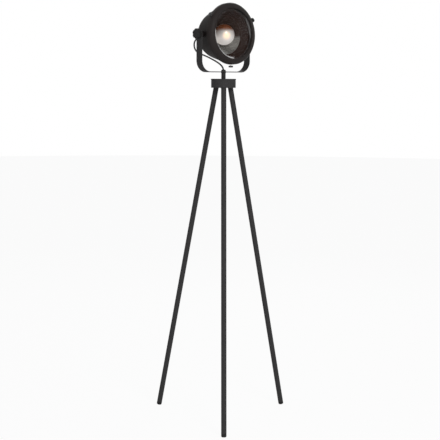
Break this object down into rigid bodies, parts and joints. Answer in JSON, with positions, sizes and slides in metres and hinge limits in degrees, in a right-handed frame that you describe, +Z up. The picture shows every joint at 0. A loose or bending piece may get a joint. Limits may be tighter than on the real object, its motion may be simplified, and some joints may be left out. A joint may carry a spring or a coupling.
{
  "type": "tripod spotlight floor lamp",
  "caption": "Floor lamp: a domed spotlight head tilts in a flat-bar yoke that pans on a stem, over a drum hub and three splayed tube legs with moulded feet.",
  "frame": {"origin": "on the floor, on the vertical axis through the hub and stem", "axes": "+Z up; the front leg points along -Y; the head at rest faces 39.5 degrees from -Y towards +X and 3.3 degrees above level"},
  "size_m": [0.492, 0.4285, 1.5274],
  "materials": {
    "steel_paint": "satin black powder coat on steel",
    "cast_paint": "satin black powder coat on aluminium",
    "head_paint": "satin brown-black enamel on aluminium",
    "foot_moulding": "matt black moulding",
    "plated_steel": "zinc plated",
    "blacked_steel": "blacked steel",
    "fibre_disc": "dark fibre",
    "knob_moulding": "fine-grained black moulding",
    "flex_sheath": "satin black sheath",
    "surround_paint": "dark brown satin paint on spun sheet",
    "bright_aluminium": "bright anodised spun aluminium",
    "holder_moulding": "black thermoset",
    "bulb_glass": "soft white bulb glass",
    "lens_glass": "clear pressed glass",
    "bulb_cap_metal": "nickelled screw cap",
    "black_rubber": "black rubber",
    "connector_moulding": "natural nylon",
    "filament_wire": "filament wire"
  },
  "bodies": {
    "base": {"hub_drum": "cast_paint", "hub_lid": "steel_paint", "lid_screws": "blacked_steel", "leg_front": "steel_paint", "leg_right": "steel_paint", "leg_left": "steel_paint", "foot_cap_front": "foot_moulding", "foot_cap_right": "foot_moulding", "foot_cap_left": "foot_moulding", "leg_inserts": "plated_steel", "leg_bolts": "blacked_steel", "cable_outlet_grommet": "black_rubber", "terminal_block": "connector_moulding", "threaded_pipe": "plated_steel", "lock_nut": "plated_steel", "lock_washer": "plated_steel", "stem_sleeve": "steel_paint", "pan_disc_lower": "fibre_disc", "pan_disc_upper": "fibre_disc", "cord_nut": "blacked_steel", "stem_flex": "flex_sheath"},
    "yoke": {"yoke": "steel_paint", "tilt_disc_left": "fibre_disc", "tilt_disc_right": "fibre_disc", "knob_disc_left": "fibre_disc", "knob_disc_right": "fibre_disc", "free_flex": "flex_sheath"},
    "head": {"housing_shell": "head_paint", "bezel_ring": "head_paint", "lens_glass": "lens_glass", "lens_gasket": "black_rubber", "lens_clip": "plated_steel", "rim_nuts": "plated_steel", "inner_surround": "surround_paint", "reflector_dish": "bright_aluminium", "lamp_holder": "holder_moulding", "holder_nipple": "plated_steel", "back_nut": "plated_steel", "bulb_cap": "bulb_cap_metal", "bulb_glass": "bulb_glass", "bulb_mount": "bulb_glass", "bulb_filament": "filament_wire", "cord_grip": "knob_moulding", "head_flex": "flex_sheath", "tilt_stud_left": "blacked_steel", "tilt_stud_right": "blacked_steel"},
    "bezel_screw_1": {"bezel_screw_1": "blacked_steel"},
    "bezel_screw_2": {"bezel_screw_2": "blacked_steel"},
    "bezel_screw_3": {"bezel_screw_3": "blacked_steel"},
    "tilt_knob_left": {"tilt_knob_left": "knob_moulding"},
    "tilt_knob_right": {"tilt_knob_right": "knob_moulding"}
  },
  "joints": [
    {"name": "yoke_pan", "type": "hinge", "parent": "base", "child": "yoke", "pos_m": [0, 0, 1.28], "axis": [0, 0, 1], "range_deg": [-170, 170]},
    {"name": "head_tilt", "type": "hinge", "parent": "yoke", "child": "head", "pos_m": [0, 0, 1.4152], "axis": [-0.7716, -0.6361, 0], "range_deg": [-15, 45], "deforming": ["free_flex"]},
    {"name": "tilt_knob_left_turn", "type": "hinge", "parent": "head", "child": "tilt_knob_left", "pos_m": [-0.0909, -0.07493, 1.4152], "axis": [-0.7716, -0.6361, 0], "range_deg": [0, 360]},
    {"name": "tilt_knob_right_turn", "type": "hinge", "parent": "head", "child": "tilt_knob_right", "pos_m": [0.0909, 0.07493, 1.4152], "axis": [0.7716, 0.6361, 0], "range_deg": [0, 360]},
    {"name": "bezel_screw_1_turn", "type": "hinge", "parent": "head", "child": "bezel_screw_1", "pos_m": [0.10391, 0.03574, 1.46815], "axis": [0.6762, 0.5903, 0.4408], "range_deg": [0, 360]},
    {"name": "bezel_screw_2_turn", "type": "hinge", "parent": "head", "child": "bezel_screw_2", "pos_m": [-0.04953, -0.08976, 1.48129], "axis": [-0.6616, -0.5039, 0.5554], "range_deg": [0, 360]},
    {"name": "bezel_screw_3_turn", "type": "hinge", "parent": "head", "child": "bezel_screw_3", "pos_m": [0.02468, -0.04189, 1.30333], "axis": [-0.0146, -0.0865, -0.9961], "range_deg": [0, 360]}
  ]
}
